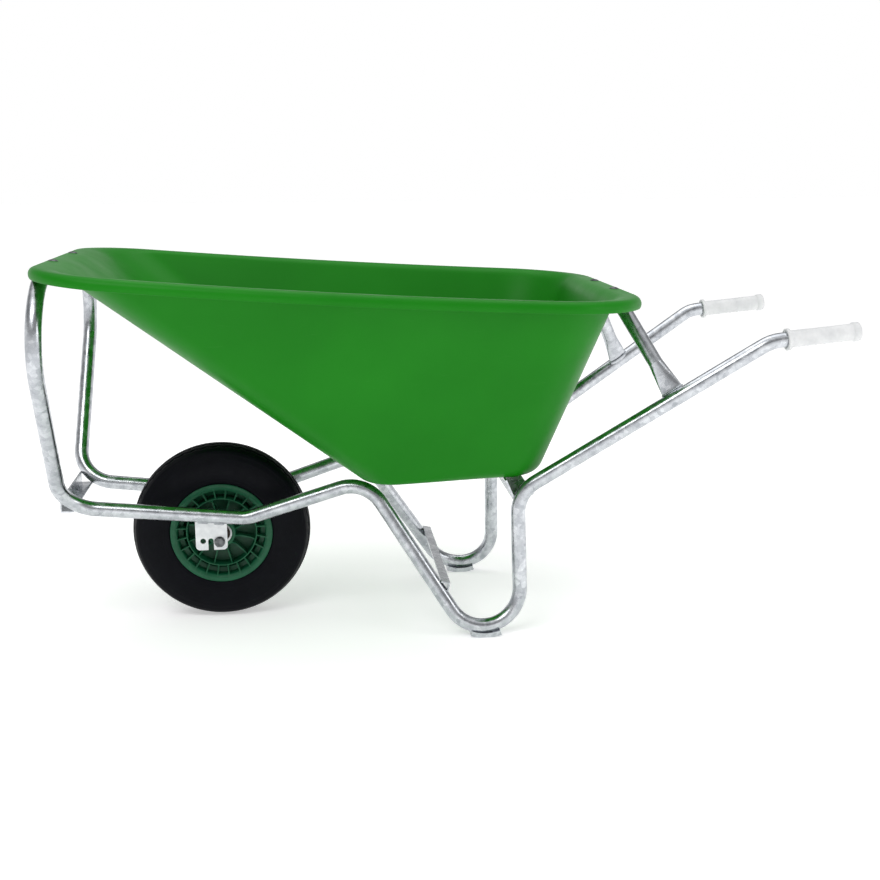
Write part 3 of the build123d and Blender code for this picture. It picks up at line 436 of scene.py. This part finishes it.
# ---- grips ----
def grip(side):
    """A vinyl sleeve with a collar, fine ridges and a closed round end, over one handle's end."""
    end = place(HANDLE_END[0], side * HANDLE_END[1], HANDLE_END[2])
    along = (end - place(HANDLE_BEND[0], side * HANDLE_BEND[1], HANDLE_BEND[2])).normalized()
    outline = [(-155.6, TUBE_RADIUS + 0.15)]
    outline += arc((-153.9, 21.5), 1.9, 180, 90, 5)
    outline += arc((-149.6, 21.5), 1.9, 90, 0, 5)
    outline += [(-147.2, 19.6), (-146.0, 18.4), (-144.0, 18.0)]
    for i in range(GRIP_SLEEVE_STEPS + 1):
        share = i / GRIP_SLEEVE_STEPS
        waist = -GRIP_WAIST * math.sin(math.pi * share)
        wave = 0.5 - 0.5 * math.cos(2 * math.pi * GRIP_RIDGE_COUNT * share)
        ridge = GRIP_RIDGE_HEIGHT * wave if 0.04 < share < 0.9 else 0.0
        outline.append((GRIP_SLEEVE_START + GRIP_SLEEVE_LENGTH * share, GRIP_SLEEVE_RADIUS + waist + ridge))
    outline += [(-13.0, 18.7), (-12.0, 19.8), (-10.6, 20.5), (-3.0, 20.5)]
    outline += arc((0.4, 17.1), 3.4, 90, 0, 6)
    outline += [(3.8, 8.0), (3.8, 0.4)]
    outline += [(-0.1, 0.4), (-0.1, TUBE_RADIUS + 0.15)]
    rows = lathe(outline, end, along, 72)
    return grid(f"grip_sleeve_{'left' if side < 0 else 'right'}", rows, round_rows=True)


# ---- weld beads ----
def bead(name, path, radius, closed):
    """A rippled weld bead along a path of points in the frame; the radius is in millimetres."""
    count = len(path)
    rows = []
    travelled = 0.0
    for i, point in enumerate(path):
        before = path[i - 1] if closed or i > 0 else point
        after = path[(i + 1) % count] if closed or i < count - 1 else point
        first, second = axes_across(after - before)
        travelled += (point - path[i - 1]).length / MM if i else 0.0
        ripple = 1 + RIPPLE_HEIGHT * math.sin(2 * math.pi * travelled / RIPPLE_LENGTH)
        taper = 1.0 if closed else min(1.0, 0.35 + 0.4 * min(i, count - 1 - i))
        size = radius * ripple * taper * MM
        rows.append([
            point + (first * math.cos(a) + second * math.sin(a)) * size
            for a in (2 * math.pi * j / BEAD_SIDES for j in range(BEAD_SIDES))])
    return grid(name, rows, round_rows=closed, caps=not closed)


def path_between(start, end, spacing=0.7):
    steps = max(6, int((end - start).length / MM / spacing))
    return [start.lerp(end, i / steps) for i in range(steps + 1)]


def hoop_weld(side):
    """The bead where a flattened end of the rear hoop stands on its handle tube."""
    foot = place(REAR_HOOP_FOOT[0], side * REAR_HOOP_FOOT[1], REAR_HOOP_FOOT[2])
    top = place(REAR_HOOP_TOP[0], side * REAR_HOOP_TOP[1], REAR_HOOP_TOP[2])
    up = (top - foot).normalized()
    handle = (place(HANDLE_BEND[0], side * HANDLE_BEND[1], HANDLE_BEND[2])
              - place(HIP[0], side * HIP[1], HIP[2])).normalized()
    wide = (handle - up * handle.dot(up)).normalized()
    thin = up.cross(wide)
    path = []
    for i in range(HOOP_WELD_POINTS):
        angle = 2 * math.pi * i / HOOP_WELD_POINTS
        start = (wide * (HOOP_END_HALF_WIDTH * MM * math.cos(angle))
                 + thin * (HOOP_END_HALF_THICKNESS * MM * math.sin(angle)))
        low, high = 0.0, HOOP_WELD_SEARCH * MM
        for _ in range(HALVINGS):
            reach = (low + high) / 2
            spot = start + up * reach
            if (spot - handle * spot.dot(handle)).length < TUBE_RADIUS * MM:
                low = reach
            else:
                high = reach
        path.append(foot + start + up * high)
    return bead(f"hoop_weld_{'left' if side < 0 else 'right'}", path, HOOP_WELD_RADIUS, closed=True)


def bracket_welds(side):
    """Two short beads along the top edge of an axle bracket, under the lower tube."""
    low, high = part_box(f"axle_bracket_{'left' if side < 0 else 'right'}")
    face = low.y if side < 0 else high.y
    beads = []
    slope = (FRONT_CORNER[2] - DIP[2]) / (FRONT_CORNER[0] - DIP[0])
    for number, (start_x, end_x) in enumerate(((-46.0, -24.0), (-11.0, 11.0))):
        ends = []
        for x in (start_x, end_x):
            height = DIP[2] + (x - DIP[0]) * slope - BRACKET_WELD_DROP
            ends.append(Vector((AXLE.x + x * MM, face, height * MM)))
        beads.append(bead(
            f"bracket_weld_{'left' if side < 0 else 'right'}_{number + 1}",
            path_between(*ends), BRACKET_WELD_RADIUS, closed=False))
    return beads


# ---- materials ----
class Shader:
    """A principled material whose colour, roughness and bump come from nodes."""

    def __init__(self, name, metallic=0.0, specular=0.5):
        self.material = bpy.data.materials.new(name)
        self.material.use_nodes = True
        self.tree = self.material.node_tree
        self.shader = self.tree.nodes["Principled BSDF"]
        self.shader.inputs["Metallic"].default_value = metallic
        self.shader.inputs["Specular IOR Level"].default_value = specular
        self.coordinates = self.add("ShaderNodeTexCoord").outputs["Object"]

    def add(self, kind, **settings):
        node = self.tree.nodes.new(kind)
        for key, value in settings.items():
            setattr(node, key, value)
        return node

    def wire(self, source, target):
        self.tree.links.new(source, target)

    def noise(self, scale, detail=4.0, roughness=0.55, stretch=(1, 1, 1)):
        mapping = self.add("ShaderNodeMapping")
        mapping.inputs["Scale"].default_value = stretch
        node = self.add("ShaderNodeTexNoise")
        node.inputs["Scale"].default_value = scale
        node.inputs["Detail"].default_value = detail
        node.inputs["Roughness"].default_value = roughness
        self.wire(self.coordinates, mapping.inputs["Vector"])
        self.wire(mapping.outputs["Vector"], node.inputs["Vector"])
        return node.outputs["Fac"]

    def cells(self, scale):
        node = self.add("ShaderNodeTexVoronoi", feature="F1")
        node.inputs["Scale"].default_value = scale
        self.wire(self.coordinates, node.inputs["Vector"])
        return node

    def span(self, source, low, high, start=0.3, end=0.7):
        """The source from start to end, stretched to run from low to high."""
        node = self.add("ShaderNodeMapRange")
        for key, value in (("From Min", start), ("From Max", end), ("To Min", low), ("To Max", high)):
            node.inputs[key].default_value = value
        self.wire(source, node.inputs["Value"])
        return node.outputs["Result"]

    def ramp(self, source, stops):
        """Colours along the source; stops are (position, (r, g, b))."""
        node = self.add("ShaderNodeValToRGB")
        while len(node.color_ramp.elements) < len(stops):
            node.color_ramp.elements.new(0.5)
        for element, (position, colour) in zip(node.color_ramp.elements, stops):
            element.position = position
            element.color = (*colour, 1)
        self.wire(source, node.inputs["Fac"])
        return node.outputs["Color"]

    def blend(self, amount, source, over):
        """The source's colour, with a plain colour laid over it by the amount."""
        node = self.add("ShaderNodeMix", data_type="RGBA")
        self.wire(amount, node.inputs["Factor"])
        self.wire(source, node.inputs[MIX_FIRST_COLOUR])
        node.inputs[MIX_SECOND_COLOUR].default_value = (*over, 1)
        return node.outputs[MIX_COLOUR_RESULT]

    def bump(self, layers):
        """Stacks bumps; each layer is (height source, strength, distance in millimetres)."""
        last = None
        for height, strength, distance in layers:
            node = self.add("ShaderNodeBump")
            node.inputs["Strength"].default_value = strength
            node.inputs["Distance"].default_value = distance * MM
            self.wire(height, node.inputs["Height"])
            if last:
                self.wire(last, node.inputs["Normal"])
            last = node.outputs["Normal"]
        self.wire(last, self.shader.inputs["Normal"])

    def finish(self, colour, roughness):
        self.wire(colour, self.shader.inputs["Base Color"])
        self.wire(roughness, self.shader.inputs["Roughness"])
        return self.material


def scratches(shader, stretch, scale, cut):
    """Thin streaks, as a value from 0 to 1."""
    return shader.span(shader.noise(scale, 6.0, 0.6, stretch), 0.0, 1.0, cut, cut + 0.08)


def moulded_green():
    """Satin green plastic with a fine moulded grain, faint clouding and light scuffs."""
    s = Shader("moulded_green_plastic", specular=0.13)
    cloud = s.ramp(s.noise(3.2, 3.0), [(0.3, (0.0055, 0.168, 0.0035)), (0.7, (0.0085, 0.200, 0.0055))])
    scuff = scratches(s, (1.0, 5.0, 9.0), 16.0, 0.66)
    faint = s.span(scuff, 0.0, 0.10, 0.0, 1.0)
    colour = s.blend(faint, cloud, (0.10, 0.33, 0.09))
    rough = s.span(s.noise(11.0, 5.0), 0.36, 0.46)
    s.bump([(s.noise(900.0, 2.0), 0.22, 0.25), (s.noise(24.0, 3.0), 0.04, 1.0), (scuff, 0.06, 0.15)])
    return s.finish(colour, rough)


def galvanised(name="hot_dip_zinc", bright=1.0):
    """Zinc with its crystal spangle and duller patches."""
    s = Shader(name, metallic=1.0)
    spangle = s.cells(95.0)
    tone = s.span(spangle.outputs["Color"], 0.50 * bright, 0.72 * bright, 0.0, 1.0)
    streak = s.span(s.noise(34.0, 6.0, 0.65), 0.80, 1.06, 0.32, 0.62)
    value = s.add("ShaderNodeMath", operation="MULTIPLY")
    s.wire(tone, value.inputs[0])
    s.wire(streak, value.inputs[1])
    colour = s.ramp(value.outputs[0], [
        (0.0, (0.05, 0.055, 0.065)), (0.45, (0.36, 0.38, 0.41)), (0.85, (0.78, 0.80, 0.83))])
    rough = s.span(s.cells(60.0).outputs["Color"], 0.16, 0.34, 0.0, 1.0)
    s.bump([
        (spangle.outputs["Distance"], 0.18, 0.35), (s.noise(160.0, 5.0), 0.16, 0.35),
        (s.noise(28.0, 3.0), 0.18, 0.9)])
    return s.finish(colour, rough)


def white_zinc():
    """Bright, slightly milky plated steel, for the axle brackets."""
    s = Shader("white_zinc_plate", metallic=0.35, specular=0.5)
    colour = s.ramp(s.noise(45.0, 5.0), [(0.3, (0.62, 0.64, 0.66)), (0.7, (0.82, 0.83, 0.84))])
    rough = s.span(s.noise(80.0, 4.0), 0.34, 0.52)
    s.bump([(s.noise(300.0, 4.0), 0.15, 0.2), (s.noise(40.0, 2.0), 0.12, 0.6)])
    return s.finish(colour, rough)


def plated_steel(name="plated_fastener", dark=(0.05, 0.055, 0.06), light=(0.20, 0.205, 0.21)):
    """Turned and plated steel, for bolts, nuts, washers and the bearings."""
    s = Shader(name, metallic=1.0)
    colour = s.ramp(s.noise(120.0, 5.0), [(0.3, dark), (0.7, light)])
    rough = s.span(s.noise(200.0, 4.0), 0.24, 0.44)
    s.bump([(s.noise(500.0, 3.0), 0.15, 0.1), (scratches(s, (1, 8, 1), 90.0, 0.62), 0.1, 0.1)])
    return s.finish(colour, rough)


def tyre_rubber():
    """Near-black rubber with a faint blue bloom and a fine grain."""
    s = Shader("tyre_rubber", specular=0.09)
    colour = s.ramp(s.noise(26.0, 6.0, 0.6), [
        (0.3, (0.0010, 0.0013, 0.0028)), (0.7, (0.0024, 0.0029, 0.0052))])
    rough = s.span(s.noise(60.0, 5.0), 0.40, 0.56)
    s.bump([(s.noise(1200.0, 3.0), 0.30, 0.2), (s.noise(90.0, 4.0), 0.14, 0.4)])
    return s.finish(colour, rough)


def soft_rubber(name, tone):
    """Plain moulded rubber, for the inner tube, seals and valve foot."""
    s = Shader(name, specular=0.3)
    light = tuple(channel * 1.8 for channel in tone)
    colour = s.ramp(s.noise(60.0, 4.0), [(0.3, tone), (0.7, light)])
    rough = s.span(s.noise(90.0, 4.0), 0.5, 0.7)
    s.bump([(s.noise(700.0, 3.0), 0.25, 0.15)])
    return s.finish(colour, rough)


def rim_plastic():
    """Dark green moulded plastic with a fine grain and a little dust."""
    s = Shader("rim_green_plastic", specular=0.3)
    cloud = s.ramp(s.noise(30.0, 4.0), [(0.3, (0.003, 0.072, 0.030)), (0.7, (0.006, 0.100, 0.043))])
    dust = s.span(s.noise(70.0, 6.0, 0.7), 0.0, 0.10, 0.52, 0.75)
    colour = s.blend(dust, cloud, (0.20, 0.26, 0.20))
    rough = s.span(s.noise(90.0, 4.0), 0.32, 0.48)
    s.bump([(s.noise(1000.0, 2.0), 0.2, 0.15), (s.noise(60.0, 3.0), 0.08, 0.5)])
    return s.finish(colour, rough)


def grip_plastic():
    """White vinyl with slight soiling and a soft sheen."""
    s = Shader("white_grip_vinyl", specular=0.4)
    clean = s.ramp(s.noise(30.0, 4.0), [(0.3, (0.60, 0.61, 0.62)), (0.7, (0.74, 0.745, 0.75))])
    soil = s.span(s.noise(55.0, 6.0, 0.7), 0.0, 0.18, 0.5, 0.8)
    colour = s.blend(soil, clean, (0.42, 0.41, 0.38))
    rough = s.span(s.noise(70.0, 4.0), 0.38, 0.55)
    s.bump([(s.noise(800.0, 2.0), 0.25, 0.2), (s.noise(60.0, 3.0), 0.10, 0.4)])
    return s.finish(colour, rough)


def brass():
    s = Shader("valve_brass", metallic=1.0)
    colour = s.ramp(s.noise(150.0, 4.0), [(0.3, (0.42, 0.29, 0.11)), (0.7, (0.68, 0.50, 0.22))])
    rough = s.span(s.noise(200.0, 4.0), 0.25, 0.42)
    s.bump([(s.noise(600.0, 3.0), 0.15, 0.1)])
    return s.finish(colour, rough)


def weld_metal():
    """The duller zinc over a weld."""
    return galvanised("weld_zinc", bright=0.78)


def dress(nodes, material):
    for name in nodes:
        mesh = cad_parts[name].data
        mesh.materials.clear()
        mesh.materials.append(material)


def show(piece, material, body, *stands_for):
    piece.data.materials.append(material)
    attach(piece, body)
    if stands_for:
        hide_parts(*stands_for)


ZINC = galvanised()
WELD = weld_metal()
STEEL = plated_steel()
show(tray_shell(), moulded_green(), "frame", "tray")
show(tyre(), tyre_rubber(), "wheel", "tyre")
RIM_GREEN = rim_plastic()
show(wheel_rim(), RIM_GREEN, "wheel", "rim")
show(wheel_ribs(), RIM_GREEN, "wheel", "rim_ribs")
VINYL = grip_plastic()
for side, word in ((-1, "left"), (1, "right")):
    show(grip(side), VINYL, "frame", f"grip_{word}")
    show(hoop_weld(side), WELD, "frame")
    for weld in bracket_welds(side):
        show(weld, WELD, "frame")

dress([
    "handle_tube_left", "handle_tube_right", "leg_tube_left", "leg_tube_right", "lower_tube_left",
    "lower_tube_right", "front_hoop", "rear_hoop", "front_cross_angle", "leg_cross_angle",
    "tray_cross_angle", "foot_plate_left", "foot_plate_right"], ZINC)
dress(["axle_bracket_left", "axle_bracket_right"], white_zinc())
dress([
    "front_tray_bolts", "rear_tray_bolts", "tray_washers", "tray_nuts", "axle", "axle_bolts",
    "axle_washers", "axle_spacers", "bearing_sleeve"], STEEL)
dress(["bearing_inner_rings", "bearing_outer_rings", "bearing_balls"], plated_steel(
    "bearing_steel", (0.40, 0.41, 0.42), (0.60, 0.61, 0.62)))
dress(["inner_tube"], soft_rubber("inner_tube_rubber", (0.012, 0.012, 0.012)))
dress(["bearing_seals"], soft_rubber("seal_rubber", (0.02, 0.012, 0.008)))
dress(["valve_cap"], soft_rubber("cap_rubber", (0.01, 0.01, 0.01)))
dress(["valve_stem"], brass())


# ---- studio ----
def floor():
    mesh = bpy.data.meshes.new("studio_floor")
    reach = 30.0
    mesh.from_pydata(
        [(-reach, -reach, 0), (reach, -reach, 0), (reach, reach, 0), (-reach, reach, 0)], [], [(0, 1, 2, 3)])
    piece = bpy.data.objects.new("studio_floor", mesh)
    bpy.context.scene.collection.objects.link(piece)
    s = Shader("studio_floor", specular=0.1)
    s.shader.inputs["Emission Color"].default_value = (1, 1, 1, 1)
    s.shader.inputs["Emission Strength"].default_value = 0.42
    colour = s.ramp(s.noise(0.6, 2.0), [(0.3, (0.90, 0.90, 0.90)), (0.7, (0.93, 0.93, 0.93))])
    mesh.materials.append(s.finish(colour, s.span(s.noise(2.0), 0.8, 0.9)))


def soft_light(name, location, target, size, power):
    data = bpy.data.lights.new(name, "AREA")
    data.shape = "RECTANGLE"
    data.size, data.size_y = size
    data.energy = power
    lamp = bpy.data.objects.new(name, data)
    lamp.location = location
    lamp.rotation_euler = (Vector(target) - Vector(location)).to_track_quat("-Z", "Y").to_euler()
    bpy.context.scene.collection.objects.link(lamp)


def sky():
    """A white surround with a grey band part of the way up, for the metal to reflect."""
    world = bpy.data.worlds.new("studio_surround")
    world.use_nodes = True
    bpy.context.scene.world = world
    tree = world.node_tree
    coordinates = tree.nodes.new("ShaderNodeTexCoord")
    split = tree.nodes.new("ShaderNodeSeparateXYZ")
    ramp = tree.nodes.new("ShaderNodeValToRGB")
    bands = ((0.16, 1.0), (0.30, 0.34), (0.62, 0.34), (0.86, 1.0))
    while len(ramp.color_ramp.elements) < len(bands):
        ramp.color_ramp.elements.new(0.5)
    for element, (height, grey) in zip(ramp.color_ramp.elements, bands):
        element.position = height
        element.color = (grey, grey, grey, 1)
    tree.links.new(coordinates.outputs["Generated"], split.inputs["Vector"])
    tree.links.new(split.outputs["Z"], ramp.inputs["Fac"])
    tree.links.new(ramp.outputs["Color"], tree.nodes["Background"].inputs["Color"])


def camera():
    """A camera on the barrow's left and a little above it, turned slightly towards the handles."""
    yaw, pitch, roll = math.radians(6.24), math.radians(12.73), math.radians(-0.31)
    forward = Vector((math.sin(yaw) * math.cos(pitch), math.cos(yaw) * math.cos(pitch), -math.sin(pitch)))
    level = Vector((math.cos(yaw), -math.sin(yaw), 0))
    up = level.cross(forward)
    right = level * math.cos(roll) + up * math.sin(roll)
    top = up * math.cos(roll) - level * math.sin(roll)
    data = bpy.data.cameras.new("camera")
    data.sensor_width = 36.0
    data.lens = 50.49
    eye = bpy.data.objects.new("camera", data)
    turn = Matrix((right, top, -forward)).transposed().to_4x4()
    eye.matrix_world = Matrix.Translation(place(201.0, -2753.5, 1016.7)) @ turn
    bpy.context.scene.collection.objects.link(eye)
    bpy.context.scene.camera = eye


bpy.context.scene.view_settings.view_transform = "Standard"
floor()
sky()
soft_light("key_light", (-1.6, -2.2, 3.2), (0.0, 0.0, 0.5), (2.2, 1.4), 38)
soft_light("top_light", (0.2, 0.6, 3.4), (0.0, 0.0, 0.5), (3.0, 2.0), 26)
soft_light("fill_light", (2.6, -1.6, 1.6), (0.2, 0.0, 0.4), (1.2, 1.6), 14)
camera()
